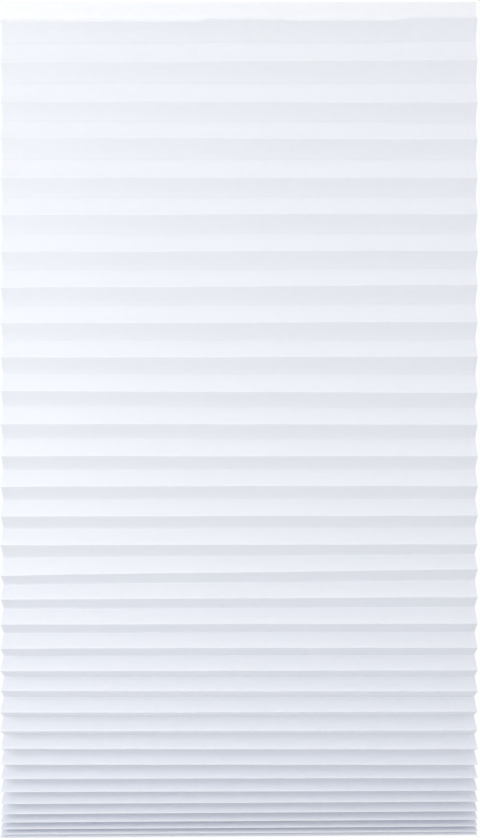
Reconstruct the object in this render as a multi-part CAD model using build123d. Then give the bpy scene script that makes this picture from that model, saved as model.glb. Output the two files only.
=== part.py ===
from build123d import *

import os
from math import acos, cos, radians, sin, tan

# A temporary pleated window blind: one sheet of stiff white nonwoven, folded back and forth
# into level pleats, with a strip of double-sided tape behind its flat header.
# It hangs from the tape. Its own weight has pulled the top pleats wide open, and the pleats
# below stay closer and closer to shut, down to a stack at the bottom.
#
# Frame, in millimetres: the origin is the centre of the tape's back face, which sticks to
# the window frame. +X is the viewer's right, +Y goes into the wall and +Z is up.

# ---- Driving dimensions ------------------------------------------------------------------

# the sheet
SHEET_WIDTH = 1000.0
SHEET_THICKNESS = 0.3
PANEL_DEPTH = 45.2              # flat distance from one crease to the next
PLEAT_COUNT = 33                # a pleat is one panel going back and one coming forward

# how far the pleats hang open: the slope of their panels below the level, in degrees
TOP_PLEAT_SLOPE = 66.15
BOTTOM_PLEAT_SLOPE = 3.75
MIDDLE_PLEAT_EXTRA_SLOPE = 1.85

# the creases, measured to the middle of the sheet's thickness
CREASE_RADIUS = 0.5
TOP_BACK_CREASE_RADIUS = 14.0   # the back creases of the top pleats are pulled out round
HEADER_CREASE_RADIUS = 3.0

# the header: a flat strip, and below it a slope that leans forward to the first crease
HEADER_STRIP_HEIGHT = 33.0
HEADER_SLOPE_LENGTH = 14.0
HEADER_SLOPE_LEAN = 50.0        # degrees forward of straight down

# the tape behind the header strip, and how far inside the strip's edges it stays
TAPE_THICKNESS = 0.5
TAPE_TOP_MARGIN = 2.5
TAPE_BOTTOM_MARGIN = 2.5
TAPE_END_MARGIN = 5.0

# ---- Sizes and places worked out from them -------------------------------------------------

TAPE_WIDTH = SHEET_WIDTH - 2 * TAPE_END_MARGIN
TAPE_HEIGHT = HEADER_STRIP_HEIGHT - TAPE_TOP_MARGIN - TAPE_BOTTOM_MARGIN
HEADER_TOP_Z = TAPE_HEIGHT / 2 + TAPE_TOP_MARGIN
HEADER_MIDDLE_Y = -(TAPE_THICKNESS + SHEET_THICKNESS / 2)


def share_down(pleat):
    """How far down the blind a pleat is: 0 for the top pleat and 1 for the bottom one."""
    return pleat / (PLEAT_COUNT - 1)


def pleat_slope(pleat):
    """Slope of a pleat's two panels below the level, in degrees."""
    share = share_down(pleat)
    straight = TOP_PLEAT_SLOPE + (BOTTOM_PLEAT_SLOPE - TOP_PLEAT_SLOPE) * share
    return straight + MIDDLE_PLEAT_EXTRA_SLOPE * 4 * share * (1 - share)


def back_crease_radius(pleat):
    """Radius of a pleat's back crease: round near the top, and soon sharp below it."""
    roundness = (1 - share_down(pleat)) ** 3
    return CREASE_RADIUS + (TOP_BACK_CREASE_RADIUS - CREASE_RADIUS) * roundness


def sheet_runs():
    """The sheet's flat runs from the top down: their lengths, and directions in (Y, Z)."""
    lean = radians(HEADER_SLOPE_LEAN)
    lengths = [HEADER_STRIP_HEIGHT, HEADER_SLOPE_LENGTH]
    directions = [Vector(0, -1), Vector(-sin(lean), -cos(lean))]
    for pleat in range(PLEAT_COUNT):
        slope = radians(pleat_slope(pleat))
        lengths += [PANEL_DEPTH, PANEL_DEPTH]
        directions += [Vector(cos(slope), -sin(slope)), Vector(-cos(slope), -sin(slope))]
    return lengths, directions


def crease_radii():
    """Radius of the crease below each run but the last."""
    radii = [HEADER_CREASE_RADIUS]
    for pleat in range(PLEAT_COUNT):
        radii += [CREASE_RADIUS, back_crease_radius(pleat)]
    return radii


def sheet_corners(lengths, directions, radii):
    """Corners of the line down the middle of the sheet, before its creases round them off.

    A round crease is shorter than the sharp corner that it replaces, so the two runs beside
    it grow by what it saves. The sheet then keeps its flat length however it hangs.
    """
    grown = list(lengths)
    for place, radius in enumerate(radii):
        turn = acos(directions[place].dot(directions[place + 1]))
        saved = radius * (tan(turn / 2) - turn / 2)
        grown[place] += saved
        grown[place + 1] += saved
    corners = [Vector(HEADER_MIDDLE_Y, HEADER_TOP_Z)]
    for length, direction in zip(grown, directions):
        corners.append(corners[-1] + direction * length)
    return corners


def face_line(corners, directions, radii, side):
    """Line down one face of the sheet: side is 1 for its back and -1 for its front."""
    offset = side * SHEET_THICKNESS / 2
    outward = [Vector(-direction.Y, direction.X) for direction in directions]
    points = [corners[0] + outward[0] * offset]
    face_radii = []
    for place, radius in enumerate(radii):
        mitre = outward[place] + outward[place + 1]
        along = offset / (1 + outward[place].dot(outward[place + 1]))
        points.append(corners[place + 1] + mitre * along)
        bends_to_back = directions[place].cross(directions[place + 1]).Z > 0
        face_radii.append(radius - offset if bends_to_back else radius + offset)
    points.append(corners[-1] + outward[-1] * offset)
    return FilletPolyline(*points, radius=face_radii)


def pleated_sheet():
    """The sheet: header strip, header slope and every panel, folded from one piece."""
    lengths, directions = sheet_runs()
    radii = crease_radii()
    corners = sheet_corners(lengths, directions, radii)
    with BuildPart() as sheet:
        with BuildSketch(Plane.YZ):
            with BuildLine():
                back = face_line(corners, directions, radii, side=1)
                front = face_line(corners, directions, radii, side=-1)
                Line(back @ 0, front @ 0)
                Line(back @ 1, front @ 1)
            make_face()
        extrude(amount=SHEET_WIDTH / 2, both=True)
    return sheet.part


def adhesive_strip():
    """The double-sided tape, from the window frame at Y = 0 to the header strip's back."""
    with BuildPart() as strip:
        with Locations((0, -TAPE_THICKNESS / 2, 0)):
            Box(TAPE_WIDTH, TAPE_THICKNESS, TAPE_HEIGHT)
    return strip.part


def print_sizes(sheet):
    """Flat length, hanging height and depth, for whoever changes a size."""
    flat_length = HEADER_STRIP_HEIGHT + HEADER_SLOPE_LENGTH + 2 * PLEAT_COUNT * PANEL_DEPTH
    box = sheet.bounding_box()
    print(f"flat length {flat_length:.1f}, drop {box.size.Z:.1f}, depth {box.size.Y:.1f}")
    print(f"volume {sheet.volume:.0f}, flat {flat_length * SHEET_THICKNESS * SHEET_WIDTH:.0f}")


os.makedirs("parts", exist_ok=True)
blind_sheet = pleated_sheet()
export_step(blind_sheet, "parts/pleated_sheet.step")
export_step(adhesive_strip(), "parts/adhesive_strip.step")
print_sizes(blind_sheet)
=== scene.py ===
from math import pi, radians, sin

import bmesh
import bpy
import numpy as np
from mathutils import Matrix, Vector


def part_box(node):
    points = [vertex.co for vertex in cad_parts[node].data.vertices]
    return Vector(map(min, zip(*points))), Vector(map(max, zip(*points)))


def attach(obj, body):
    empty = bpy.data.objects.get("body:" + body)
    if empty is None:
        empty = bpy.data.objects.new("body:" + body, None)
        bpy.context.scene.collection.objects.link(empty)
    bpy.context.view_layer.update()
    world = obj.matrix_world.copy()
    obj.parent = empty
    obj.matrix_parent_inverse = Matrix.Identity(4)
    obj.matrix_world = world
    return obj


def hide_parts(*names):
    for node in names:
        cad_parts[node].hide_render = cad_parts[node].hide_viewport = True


# A temporary pleated window blind: one folded sheet of white nonwoven, hung from a strip of
# double-sided tape behind its header. Everything is in metres, in the frame of the CAD part:
# +X is the viewer's right, +Y goes into the wall and +Z is up.

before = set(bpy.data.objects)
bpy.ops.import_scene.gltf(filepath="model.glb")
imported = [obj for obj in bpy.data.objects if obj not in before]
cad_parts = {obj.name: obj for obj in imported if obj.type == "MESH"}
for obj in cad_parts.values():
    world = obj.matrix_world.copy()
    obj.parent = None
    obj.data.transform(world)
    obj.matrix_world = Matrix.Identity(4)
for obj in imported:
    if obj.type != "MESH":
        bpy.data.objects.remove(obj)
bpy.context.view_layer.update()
sheet_low, sheet_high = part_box("pleated_sheet")
tape_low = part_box("adhesive_strip")[0]

# ---- The sheet's sizes, as the CAD part has them -------------------------------------------

SHEET_WIDTH = sheet_high.x - sheet_low.x
SHEET_THICKNESS = 0.0003
PANEL_DEPTH = 0.0452
PLEAT_COUNT = 33
TOP_PLEAT_SLOPE = radians(66.15)        # of the panels, below the level
BOTTOM_PLEAT_SLOPE = radians(3.75)
MIDDLE_PLEAT_EXTRA_SLOPE = radians(1.85)
CREASE_RADIUS = 0.0005
TOP_BACK_CREASE_RADIUS = 0.014
HEADER_CREASE_RADIUS = 0.003
HEADER_STRIP_HEIGHT = 0.033
HEADER_SLOPE_LENGTH = 0.014
HEADER_SLOPE_LEAN = radians(50.0)       # forward of straight down
TAPE_CLEARANCE = 0.0001                 # keeps the sheet's back and the tape's face from mixing
HEADER_MIDDLE_Y = tape_low.y - TAPE_CLEARANCE - SHEET_THICKNESS / 2
HEADER_LENGTH = HEADER_STRIP_HEIGHT + HEADER_SLOPE_LENGTH
CREASE_COUNT = 2 * PLEAT_COUNT + 1

# ---- How finely the sheet is divided -------------------------------------------------------

COLUMNS = 78                            # across the width
PANEL_STEPS = 5                         # down each flat run
CREASE_STEPS = 4                        # round each crease

# ---- How the real sheet strays from perfect folds ------------------------------------------

SEED = 431
CREASE_WANDER = 0.0005                  # up and down along a crease
CREASE_SWAY = 0.0010                    # to the front and back along a crease
EDGE_WANDER = 0.0004                    # of the side edges, in and out
TOP_PANEL_BOW = 0.0016                  # how far the top panels bulge to the back
LEFT_END_DROP = 0.0010                  # every pleat hangs a little lower at the left end
STACK_LEFT_END_DROP = 0.0022            # and the stack at the bottom lower still
STACK_START = 28                        # the front crease where that stack starts
TOP_EDGE_TILT = 0.0016                  # the top edge lies lower at the left
BOW_UNEVENNESS = 0.35                   # how much more or less than its share a panel bulges

# the first crease isn't straight: where it steps up or down, from -1 at the left end to 1 at
# the right one, and how far
FIRST_CREASE_STEPS = (
    (-0.19, -0.13, 0.0045),
    (0.16, 0.22, -0.0025),
    (0.60, 0.76, 0.0055),
)
FIRST_CREASE_DROP = 0.001               # of its left end

# front creases that hang well off their place, counted from the header down: how far the
# middle hangs low, and how far the left end hangs lower still. These are measurements of one
# hanging blind, rounded to half a millimetre
STRAY_CREASES = {
    2: (0.001, 0.0035),
    3: (0.004, -0.001),
    4: (-0.0005, -0.002),
    5: (0.002, 0.0),
    8: (-0.002, 0.003),
    11: (0.0025, -0.002),
    12: (0.0015, -0.0005),
    13: (0.0015, 0.0),
    17: (0.0, 0.007),
    18: (-0.001, 0.0025),
    22: (-0.002, -0.0005),
    25: (0.0015, 0.0),
    26: (0.0015, 0.0),
}

# ---- Colours -------------------------------------------------------------------------------

THICK_NONWOVEN = (0.95, 0.957, 0.972)
THIN_NONWOVEN = (0.93, 0.938, 0.958)
BARE_FIBRES = (0.97, 0.975, 0.98)
PAINTED_CREASE_HIGHLIGHT = (0.985, 0.988, 0.99)    # painted highlight along the front creases, where light catches their edges
PAINTED_CREASE_SHADE = (0.89, 0.90, 0.925)      # painted shade along the back creases, where the tight fold shades itself
TAPE_TISSUE = (0.93, 0.93, 0.92)
TAPE_ADHESIVE = (0.9, 0.895, 0.87)
TAPE_FIBRES = (0.96, 0.96, 0.95)
FLOOR_GREY = 0.74
FLOOR_PALE = 0.78
ROOM_LIGHT = (0.702, 0.711, 0.735)

# ---- Finishes ------------------------------------------------------------------------------

NONWOVEN_FIBRE_LENGTH = 0.009
NONWOVEN_FIBRE_WIDTH = 0.0004
NONWOVEN_CLOUD_SIZE = 0.016
NONWOVEN_FIBRE_SHARE = 0.35             # how much a fibre's own colour shows
NONWOVEN_ROUGHNESS = 0.82
PRESSED_ROUGHNESS = 0.62
NONWOVEN_RELIEF = 0.00012
CREASE_LINE_WIDTH = 0.0022
TAPED_THROUGH = 0.1                     # share of light let through, where the tape lies behind
OPEN_THROUGH = 0.5                      # and where nothing does
TAPED_FADE = 0.002                      # how far above the first crease the one becomes the other

TISSUE_FIBRE_LENGTH = 0.006
TISSUE_FIBRE_WIDTH = 0.0003
TISSUE_CLOUD_SIZE = 0.007
TISSUE_FIBRE_SHARE = 0.3
ADHESIVE_ROUGHNESS = 0.28
BUBBLE_ROUGHNESS = 0.5
BUBBLES_PER_METRE = 170
ADHESIVE_RELIEF = 0.0003

# ---- The fold ------------------------------------------------------------------------------

def share_down(pleat):
    """How far down the blind a pleat is: 0 for the top pleat and 1 for the bottom one."""
    return pleat / (PLEAT_COUNT - 1)


def pleat_slope(pleat):
    """Slope of a pleat's two panels below the level."""
    share = share_down(pleat)
    straight = TOP_PLEAT_SLOPE + (BOTTOM_PLEAT_SLOPE - TOP_PLEAT_SLOPE) * share
    return straight + MIDDLE_PLEAT_EXTRA_SLOPE * 4 * share * (1 - share)


def back_crease_radius(pleat):
    """Radius of a pleat's back crease: round near the top, and soon sharp below it."""
    roundness = (1 - share_down(pleat)) ** 3
    return CREASE_RADIUS + (TOP_BACK_CREASE_RADIUS - CREASE_RADIUS) * roundness


def fold_plan():
    """The sheet's flat runs from the top down, the way each one heads, and its creases.

    A heading is an angle in the YZ plane, from +Y towards +Z.
    """
    down = -pi / 2
    lengths = [HEADER_STRIP_HEIGHT, HEADER_SLOPE_LENGTH]
    headings = [down, down - HEADER_SLOPE_LEAN]
    radii = [HEADER_CREASE_RADIUS]
    for pleat in range(PLEAT_COUNT):
        slope = pleat_slope(pleat)
        lengths += [PANEL_DEPTH, PANEL_DEPTH]
        headings += [-slope, slope - pi]
        radii += [CREASE_RADIUS, back_crease_radius(pleat)]
    return lengths, headings, radii


def fold_profile():
    """The sheet seen from its side: each row's place in (y, z), and its flat distance down."""
    lengths, headings, radii = fold_plan()
    turns = np.diff(headings)
    half_arcs = [0.0, *(np.abs(turns) * radii / 2), 0.0]
    walk = []                           # heading, straight distance and distance on the sheet
    for run, length in enumerate(lengths):
        step = (length - half_arcs[run] - half_arcs[run + 1]) / PANEL_STEPS
        walk += [(headings[run], step, step)] * PANEL_STEPS
        if run < len(radii):
            turn = turns[run] / CREASE_STEPS
            chord = 2 * radii[run] * sin(abs(turn) / 2)
            for part in range(CREASE_STEPS):
                walk.append((headings[run] + turn * (part + 0.5), chord, abs(turn) * radii[run]))
    heading, chord, along = np.array(walk).T
    y = HEADER_MIDDLE_Y + np.concatenate([[0], np.cumsum(chord * np.cos(heading))])
    z = sheet_high.z + np.concatenate([[0], np.cumsum(chord * np.sin(heading))])
    distance = np.concatenate([[0], np.cumsum(along)])
    return y, z, distance


def smooth_noise(rng, rows, across):
    """Gentle random waves along each crease, about 1 high, akin from one crease to the next."""
    field = np.zeros((rows, len(across)))
    for wave in range(1, 7):
        swing = rng.normal(size=(rows, 2)) / wave
        field += swing[:, :1] * np.sin(pi * wave * across)
        field += swing[:, 1:] * np.cos(pi * wave * across)
    neighbours = np.pad(field, ((1, 1), (0, 0)), mode="edge")
    return (neighbours[:-2] + 2 * neighbours[1:-1] + neighbours[2:]) / 4


def eased(across, start, end):
    """Rises smoothly from 0 to 1 between two places across the sheet."""
    share = np.clip((across - start) / (end - start), 0, 1)
    return share * share * (3 - 2 * share)


def first_crease_rise(across):
    """How far the first crease stands above its place."""
    steps = [step * eased(across, start, end) for start, end, step in FIRST_CREASE_STEPS]
    return sum(steps) - FIRST_CREASE_DROP


def stray_offsets(across):
    """How far each line of the fold hangs off its place in z, apart from small waves.

    A front crease carries the back creases beside it half of the way.
    """
    lines = CREASE_COUNT + 2
    offset = np.zeros((lines, len(across)))
    for crease in range(1, PLEAT_COUNT + 2):
        low, left_low = STRAY_CREASES.get(crease, (0.0, LEFT_END_DROP))
        if crease >= STACK_START:
            left_low += STACK_LEFT_END_DROP * min(1, (crease - STACK_START + 1) / 3)
        offset[2 * crease] = left_low * across - low
    offset[2] = first_crease_rise(across)
    offset[3:-1:2] = (offset[2:-2:2] + offset[4::2]) / 2
    offset[0] = TOP_EDGE_TILT * (across - 1)
    return offset


def crease_offsets(rng, across):
    """How far each line of the fold strays from its place, in y and in z.

    The lines are the top edge, every crease and the bottom edge. Where the pleats are nearly
    shut they lie on each other, so they wave less.
    """
    lines = CREASE_COUNT + 2
    slopes = [pleat_slope(min(max(line - 2, 0) // 2, PLEAT_COUNT - 1)) for line in range(lines)]
    freedom = np.sin(slopes)[:, None]
    freedom[:2] = 0
    offset_y = CREASE_SWAY * freedom * smooth_noise(rng, lines, across)
    offset_z = CREASE_WANDER * freedom * smooth_noise(rng, lines, across)
    return offset_y, offset_z + stray_offsets(across)


def panel_bulges(rng, across):
    """How far the middle of each run bulges to the back."""
    runs = CREASE_COUNT + 1
    shares = [share_down(min(max(run - 2, 0) // 2, PLEAT_COUNT - 1)) for run in range(runs)]
    looseness = (1 - np.array(shares))[:, None]
    bulge = TOP_PANEL_BOW * looseness ** 2 * (1 + BOW_UNEVENNESS * smooth_noise(rng, runs, across))
    bulge[0] = 0
    return bulge


def sheet_surface():
    """Places of the sheet's middle surface, by row and column, and the rows' flat distance."""
    rng = np.random.default_rng(SEED)
    across = np.linspace(-1, 1, COLUMNS + 1)
    y, z, distance = fold_profile()
    line_distance = np.concatenate([[0], np.cumsum(fold_plan()[0])])
    line_distance[-1] = distance[-1]
    place = np.interp(distance, line_distance, np.arange(len(line_distance)))
    run = np.minimum(place.astype(int), CREASE_COUNT)
    part = (place - run)[:, None]

    offset_y, offset_z = crease_offsets(rng, across)
    offset_x = EDGE_WANDER * smooth_noise(rng, CREASE_COUNT + 2, across)
    bulge = panel_bulges(rng, across)[run] * 4 * part * (1 - part)
    normal_y = -np.gradient(z, distance)[:, None]
    normal_z = np.gradient(y, distance)[:, None]

    def between_lines(offset):
        return offset[run] * (1 - part) + offset[run + 1] * part

    surface = np.empty((len(distance), COLUMNS + 1, 3))
    surface[:, :, 0] = across * SHEET_WIDTH / 2 + between_lines(offset_x)
    surface[:, :, 1] = y[:, None] + between_lines(offset_y) + normal_y * bulge
    surface[:, :, 2] = z[:, None] + between_lines(offset_z) + normal_z * bulge
    return surface, distance


def make_pleated_sheet():
    """The blind's sheet: a flat grid, folded row by row, with its flat cut as its UV map."""
    surface, distance = sheet_surface()
    rows = len(distance) - 1
    bm = bmesh.new()
    bmesh.ops.create_grid(bm, x_segments=COLUMNS, y_segments=rows, size=0.5)
    uv_layer = bm.loops.layers.uv.new("flat_cut")
    flat_place = {}
    for vertex in bm.verts:
        column = round((vertex.co.x + 0.5) * COLUMNS)
        row = round((0.5 - vertex.co.y) * rows)
        vertex.co = surface[row, column]
        flat_place[vertex] = (column / COLUMNS * SHEET_WIDTH, distance[row])
    for edge in bm.edges:
        edge.smooth = not edge.is_boundary      # keeps the cut edges crisp
    for face in bm.faces:
        face.smooth = True
        for loop in face.loops:
            loop[uv_layer].uv = flat_place[loop.vert]
    bmesh.ops.reverse_faces(bm, faces=bm.faces)
    mesh = bpy.data.meshes.new("folded_nonwoven_sheet")
    bm.to_mesh(mesh)
    bm.free()
    sheet = bpy.data.objects.new("folded_nonwoven_sheet", mesh)
    bpy.context.collection.objects.link(sheet)
    body = sheet.modifiers.new("sheet thickness", "SOLIDIFY")
    body.thickness = SHEET_THICKNESS
    body.offset = 0
    body.use_even_offset = False
    return sheet


# ---- Shader node groups ---------------------------------------------------------------------

def new_group(name, inputs, outputs):
    """An empty node group, with its named sockets, and its two end nodes."""
    group = bpy.data.node_groups.new(name, "ShaderNodeTree")
    for way, sockets in (("INPUT", inputs), ("OUTPUT", outputs)):
        for socket_name, kind in sockets:
            group.interface.new_socket(socket_name, in_out=way, socket_type="NodeSocket" + kind)
    return group, group.nodes.new("NodeGroupInput"), group.nodes.new("NodeGroupOutput")


def feed(tree, socket, value):
    """Links a socket to another node's output, or sets it to a plain value."""
    if isinstance(value, bpy.types.NodeSocket):
        tree.links.new(value, socket)
    else:
        socket.default_value = value


def sums(tree, operation, *values):
    """A Math node on up to three values; gives its output."""
    node = tree.nodes.new("ShaderNodeMath")
    node.operation = operation
    for socket, value in zip(node.inputs, values):
        feed(tree, socket, value)
    return node.outputs[0]


def vector_sums(tree, operation, *values):
    """A Vector Math node on up to three vectors; gives its output."""
    node = tree.nodes.new("ShaderNodeVectorMath")
    node.operation = operation
    for socket, value in zip(node.inputs, values):
        feed(tree, socket, value)
    return node.outputs[0]


def joined(tree, x, y, z):
    """One vector made of three values."""
    node = tree.nodes.new("ShaderNodeCombineXYZ")
    for socket, value in zip(node.inputs, (x, y, z)):
        feed(tree, socket, value)
    return node.outputs[0]


def noise(tree, place, scale, detail=0.0):
    """Flat noise over the XY plane of a place."""
    node = tree.nodes.new("ShaderNodeTexNoise")
    node.noise_dimensions = "2D"
    feed(tree, node.inputs["Vector"], place)
    feed(tree, node.inputs["Scale"], scale)
    node.inputs["Detail"].default_value = detail
    return node


def ramp(tree, value, low, high, to_low=0.0, to_high=1.0):
    """A value mapped smoothly from one range to another."""
    node = tree.nodes.new("ShaderNodeMapRange")
    node.interpolation_type = "SMOOTHSTEP"
    names = ("Value", "From Min", "From Max", "To Min", "To Max")
    for name, setting in zip(names, (value, low, high, to_low, to_high)):
        feed(tree, node.inputs[name], setting)
    return node.outputs["Result"]


def make_fibre_group():
    """Fibres that lie every way in the plane of a web, and how cloudy and uneven it is.

    Place is in metres, with the web in its XY plane.
    """
    group, start, end = new_group(
        "lying_fibres",
        [
            ("Place", "Vector"), ("Fibre Length", "Float"), ("Fibre Width", "Float"),
            ("Cloud Size", "Float"),
        ],
        [("Fibres", "Float"), ("Clouds", "Float")],
    )
    place, length = start.outputs["Place"], start.outputs["Fibre Length"]
    width, cloud_size = start.outputs["Fibre Width"], start.outputs["Cloud Size"]
    bending = noise(group, place, sums(group, "DIVIDE", 0.4, length), 1.0)
    sideways = vector_sums(group, "SUBTRACT", bending.outputs["Color"], (0.5, 0.5, 0.5))
    bent = vector_sums(group, "MULTIPLY_ADD", sideways, joined(group, length, length, 0.0), place)
    fibres = None
    for layer, turn in enumerate((8, 67, 128)):
        turned = group.nodes.new("ShaderNodeVectorRotate")
        turned.rotation_type = "Z_AXIS"
        turned.inputs["Angle"].default_value = radians(turn)
        feed(group, turned.inputs["Vector"], bent)
        stretched = vector_sums(group, "DIVIDE", turned.outputs[0], joined(group, length, width, 1.0))
        own_layer = vector_sums(group, "ADD", stretched, (0, 17.3 * layer, 0))
        waves = noise(group, own_layer, 1.0).outputs["Fac"]
        off_line = sums(group, "ABSOLUTE", sums(group, "SUBTRACT", waves, 0.5))
        strand = ramp(group, off_line, 0.0, 0.06, 1.0, 0.0)
        fibres = strand if fibres is None else sums(group, "MAXIMUM", fibres, strand)
    clouds = noise(group, place, sums(group, "DIVIDE", 1.0, cloud_size), 3.0)
    group.links.new(fibres, end.inputs["Fibres"])
    group.links.new(clouds.outputs["Fac"], end.inputs["Clouds"])
    return group


def make_crease_group():
    """Where the sheet was pressed into creases: one line along each front and each back crease. The
    lines carry a painted highlight on the front creases, painted shade on the back ones, and the
    smoother finish of the pressed fibres.

    Distance is measured down the flat sheet from its top edge, in metres.
    """
    group, start, end = new_group(
        "creases_pressed_and_painted_light",
        [
            ("Distance", "Float"), ("First Crease", "Float"), ("Panel Depth", "Float"),
            ("Line Width", "Float"),
        ],
        [("Front Creases", "Float"), ("Back Creases", "Float")],
    )
    depth, line_width = start.outputs["Panel Depth"], start.outputs["Line Width"]
    below_first = sums(group, "SUBTRACT", start.outputs["Distance"], start.outputs["First Crease"])
    panels = sums(group, "DIVIDE", below_first, depth)
    folded_header = sums(group, "MULTIPLY", panels, -0.5)
    panels = sums(group, "MAXIMUM", panels, folded_header)
    from_front = sums(group, "MULTIPLY", sums(group, "PINGPONG", panels, 1.0), depth)
    from_back = sums(group, "SUBTRACT", depth, from_front)
    for name, apart in (("Front Creases", from_front), ("Back Creases", from_back)):
        group.links.new(ramp(group, apart, 0.0, line_width, 1.0, 0.0), end.inputs[name])
    return group


# ---- Materials -----------------------------------------------------------------------------

def new_material(name):
    """A new material, with its node tree and its Principled shader."""
    material = bpy.data.materials.new(name)
    material.use_nodes = True
    return material, material.node_tree, material.node_tree.nodes["Principled BSDF"]


def placed_group(tree, group, **values):
    """A node group placed in a material, with a value or a link for each of its inputs."""
    node = tree.nodes.new("ShaderNodeGroup")
    node.node_tree = group
    for name, value in values.items():
        feed(tree, node.inputs[name.replace("_", " ")], value)
    return node.outputs


def colour_mix(tree, share, colour, other_colour):
    """A colour that goes from one to another as the share goes from 0 to 1."""
    node = tree.nodes.new("ShaderNodeMix")
    node.data_type = "RGBA"
    feed(tree, node.inputs["Factor"], share)
    feed(tree, node.inputs[6], colour)
    feed(tree, node.inputs[7], other_colour)
    return node.outputs[2]


def bump(tree, height, distance):
    """The normal of a surface whose height changes by up to a distance in metres."""
    node = tree.nodes.new("ShaderNodeBump")
    node.inputs["Distance"].default_value = distance
    feed(tree, node.inputs["Height"], height)
    return node.outputs["Normal"]


def nonwoven_material(fibre_group, crease_group):
    """Thin bonded white nonwoven: fibrous, a little cloudy, dull, and bright with light behind it,
    with a painted highlight along its front creases and painted shade along its back creases.
    """
    material, tree, body = new_material("white_nonwoven")
    flat_cut = tree.nodes.new("ShaderNodeUVMap")
    flat_cut.uv_map = "flat_cut"
    split = tree.nodes.new("ShaderNodeSeparateXYZ")
    feed(tree, split.inputs[0], flat_cut.outputs["UV"])

    web = placed_group(
        tree, fibre_group, Place=flat_cut.outputs["UV"],
        Fibre_Length=NONWOVEN_FIBRE_LENGTH, Fibre_Width=NONWOVEN_FIBRE_WIDTH,
        Cloud_Size=NONWOVEN_CLOUD_SIZE,
    )
    creases = placed_group(
        tree, crease_group, Distance=split.outputs["Y"],
        First_Crease=HEADER_LENGTH, Panel_Depth=PANEL_DEPTH, Line_Width=CREASE_LINE_WIDTH,
    )
    thick = ramp(tree, web["Clouds"], 0.3, 0.7)
    web_colour = colour_mix(tree, thick, (*THIN_NONWOVEN, 1), (*THICK_NONWOVEN, 1))
    fibre_share = sums(tree, "MULTIPLY", web["Fibres"], NONWOVEN_FIBRE_SHARE)
    fibre_colour = colour_mix(tree, fibre_share, web_colour, (*BARE_FIBRES, 1))
    # painted highlight: a brighter line along each front crease, broken up along its length, where
    # light catches the crease edge
    streaks = vector_sums(tree, "MULTIPLY", flat_cut.outputs["UV"], (30.0, 160.0, 0.0))
    broken = ramp(tree, noise(tree, streaks, 1.0, 2.0).outputs["Fac"], 0.38, 0.6, 0.25, 1.0)
    painted_highlight_line = sums(tree, "MULTIPLY", creases["Front Creases"], broken)
    front_colour = colour_mix(tree, painted_highlight_line, fibre_colour, (*PAINTED_CREASE_HIGHLIGHT, 1))
    # painted shade: a greyish line along each back crease, where the tight fold shades itself
    colour = colour_mix(tree, creases["Back Creases"], front_colour, (*PAINTED_CREASE_SHADE, 1))
    feed(tree, body.inputs["Base Color"], colour)

    pressed = sums(tree, "MAXIMUM", creases["Front Creases"], creases["Back Creases"])
    roughness = ramp(tree, pressed, 0.0, 1.0, NONWOVEN_ROUGHNESS, PRESSED_ROUGHNESS)
    feed(tree, body.inputs["Roughness"], roughness)
    body.inputs["Specular IOR Level"].default_value = 0.2
    surface_height = sums(tree, "MULTIPLY_ADD", web["Fibres"], 0.25, web["Clouds"])
    normal = bump(tree, surface_height, NONWOVEN_RELIEF)
    feed(tree, body.inputs["Normal"], normal)

    through = tree.nodes.new("ShaderNodeBsdfTranslucent")
    through.inputs["Color"].default_value = (*THICK_NONWOVEN, 1)
    feed(tree, through.inputs["Normal"], normal)
    mix = tree.nodes.new("ShaderNodeMixShader")
    header_end = HEADER_LENGTH - TAPED_FADE
    share = ramp(tree, split.outputs["Y"], header_end, HEADER_LENGTH, TAPED_THROUGH, OPEN_THROUGH)
    feed(tree, mix.inputs["Fac"], share)
    feed(tree, mix.inputs[1], body.outputs["BSDF"])
    feed(tree, mix.inputs[2], through.outputs["BSDF"])
    feed(tree, tree.nodes["Material Output"].inputs["Surface"], mix.outputs["Shader"])
    return material


def tape_material(fibre_group):
    """Double-sided tape: a fibrous tissue under a glossy film of adhesive, with trapped bubbles."""
    material, tree, body = new_material("double_sided_tape")
    own_place = tree.nodes.new("ShaderNodeTexCoord").outputs["Object"]
    laid_flat = tree.nodes.new("ShaderNodeMapping")
    laid_flat.inputs["Rotation"].default_value = (pi / 2, 0, 0)
    feed(tree, laid_flat.inputs["Vector"], own_place)
    place = laid_flat.outputs["Vector"]

    tissue = placed_group(
        tree, fibre_group, Place=place, Fibre_Length=TISSUE_FIBRE_LENGTH,
        Fibre_Width=TISSUE_FIBRE_WIDTH, Cloud_Size=TISSUE_CLOUD_SIZE,
    )
    colour = colour_mix(tree, tissue["Clouds"], (*TAPE_TISSUE, 1), (*TAPE_ADHESIVE, 1))
    fibre_share = sums(tree, "MULTIPLY", tissue["Fibres"], TISSUE_FIBRE_SHARE)
    colour = colour_mix(tree, fibre_share, colour, (*TAPE_FIBRES, 1))
    feed(tree, body.inputs["Base Color"], colour)

    bubbles = tree.nodes.new("ShaderNodeTexVoronoi")
    bubbles.feature = "SMOOTH_F1"
    bubbles.inputs["Scale"].default_value = BUBBLES_PER_METRE
    feed(tree, bubbles.inputs["Vector"], place)
    bubble = ramp(tree, bubbles.outputs["Distance"], 0.12, 0.32, 1.0, 0.0)
    ripples = noise(tree, place, 90.0, 2.0).outputs["Fac"]
    bubbly = sums(tree, "MULTIPLY", bubble, ramp(tree, ripples, 0.52, 0.66))
    roughness = ramp(tree, bubbly, 0.0, 1.0, ADHESIVE_ROUGHNESS, BUBBLE_ROUGHNESS)
    feed(tree, body.inputs["Roughness"], roughness)
    surface_height = sums(tree, "ADD", bubbly, ripples)
    feed(tree, body.inputs["Normal"], bump(tree, surface_height, ADHESIVE_RELIEF))
    return material


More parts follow.
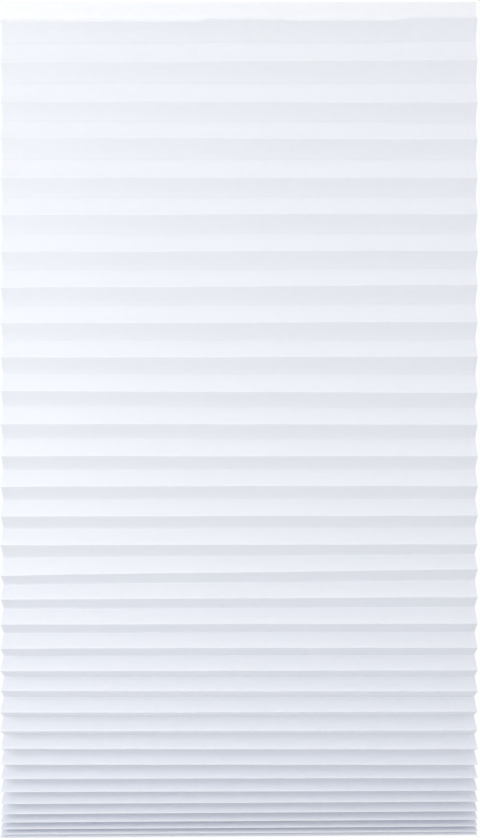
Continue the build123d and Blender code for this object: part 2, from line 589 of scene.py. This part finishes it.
def floor_material():
    """A dull, very pale, slightly mottled floor."""
    material, tree, body = new_material("pale_floor")
    own_place = tree.nodes.new("ShaderNodeTexCoord").outputs["Object"]
    mottle = noise(tree, own_place, 6.0, 4.0).outputs["Fac"]
    grey, pale = (FLOOR_GREY,) * 3 + (1,), (FLOOR_PALE,) * 3 + (1,)
    feed(tree, body.inputs["Base Color"], colour_mix(tree, mottle, grey, pale))
    body.inputs["Roughness"].default_value = 0.9
    return material


# ---- The pieces ----------------------------------------------------------------------------

fibres = make_fibre_group()
sheet = make_pleated_sheet()
sheet.data.materials.append(nonwoven_material(fibres, make_crease_group()))
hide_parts("pleated_sheet")
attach(sheet, "root")

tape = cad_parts["adhesive_strip"]
tape_finish = tape_material(fibres)
for place in tape.material_slots:
    place.material = tape_finish


# ---- Stage: floor, light and camera --------------------------------------------------------

FLOOR_RADIUS = 0.9
FLOOR_GAP = 0.35                # from the blind's bottom edge down to the floor
FLOOR_SIDES = 96

CAMERA_DISTANCE = 3.006         # in front of the window frame
CAMERA_DROP = 0.6371            # below the tape's centre
CAMERA_LENS = 61.33             # in millimetres, on a sensor 36 mm wide
HORIZON_SHIFT = 0.1272          # the middle of the picture lies below the camera's height
CENTRE_SHIFT = 0.001

# name, place, the point it faces, width, height and power in watts
SOFTBOXES = (
    ("left_softbox", (-1.7, -1.3, -0.65), (0, 0, -0.9), 1.0, 1.0, 18),
    ("right_softbox", (1.7, -1.3, -0.5), (0, 0, -0.8), 1.0, 1.0, 4),
    ("overhead_softbox", (0, -0.7, 1.2), (0, 0, -0.8), 1.6, 0.8, 4.0),
    ("high_front_softbox", (0, -2.2, 2.2), (0, 0, -0.8), 2.0, 1.2, 5),
    ("rear_softbox", (0, 2.2, -1.7), (0, 0, -0.5), 2.0, 1.0, 9),
)


def placed_object(name, data):
    """An object of the scene for a mesh, a light or a camera."""
    thing = bpy.data.objects.new(name, data)
    bpy.context.collection.objects.link(thing)
    return thing


def make_floor():
    """A round pale floor under the blind, in the middle of the white room."""
    bm = bmesh.new()
    bmesh.ops.create_circle(bm, cap_ends=True, segments=FLOOR_SIDES, radius=FLOOR_RADIUS)
    bmesh.ops.translate(bm, verts=bm.verts, vec=(0, 0, sheet_low.z - FLOOR_GAP))
    mesh = bpy.data.meshes.new("floor")
    bm.to_mesh(mesh)
    bm.free()
    floor = placed_object("floor", mesh)
    floor.data.materials.append(floor_material())


def add_softbox(name, place, aim, width, height, power):
    """A flat soft light that faces a point."""
    data = bpy.data.lights.new(name, "AREA")
    data.shape = "RECTANGLE"
    data.size = width
    data.size_y = height
    data.energy = power
    softbox = placed_object(name, data)
    softbox.location = place
    softbox.rotation_euler = (Vector(aim) - Vector(place)).to_track_quat("-Z", "Y").to_euler()


def make_camera():
    """A level camera straight in front of the blind, shifted down to frame all of it."""
    data = bpy.data.cameras.new("camera")
    data.sensor_width = 36
    data.lens = CAMERA_LENS
    data.shift_x = CENTRE_SHIFT
    data.shift_y = -HORIZON_SHIFT
    camera = placed_object("camera", data)
    camera.location = (0, -CAMERA_DISTANCE, -CAMERA_DROP)
    camera.rotation_euler = (pi / 2, 0, 0)
    bpy.context.scene.camera = camera


def make_world():
    """Even soft light from all round, in front of a plain white backdrop."""
    world = bpy.data.worlds.new("studio")
    world.use_nodes = True
    tree = world.node_tree
    light = tree.nodes["Background"]
    light.inputs["Color"].default_value = (*ROOM_LIGHT, 1)
    backdrop = tree.nodes.new("ShaderNodeBackground")
    backdrop.inputs["Color"].default_value = (1, 1, 1, 1)
    mix = tree.nodes.new("ShaderNodeMixShader")
    feed(tree, mix.inputs["Fac"], tree.nodes.new("ShaderNodeLightPath").outputs["Is Camera Ray"])
    feed(tree, mix.inputs[1], light.outputs["Background"])
    feed(tree, mix.inputs[2], backdrop.outputs["Background"])
    feed(tree, tree.nodes["World Output"].inputs["Surface"], mix.outputs["Shader"])
    bpy.context.scene.world = world


make_floor()
make_camera()
make_world()
for softbox in SOFTBOXES:
    add_softbox(*softbox)

scene = bpy.context.scene
scene.view_settings.view_transform = "Standard"
scene.cycles.max_bounces = 24           # light finds its way deep into the shut pleats
scene.cycles.diffuse_bounces = 16
scene.cycles.transmission_bounces = 20
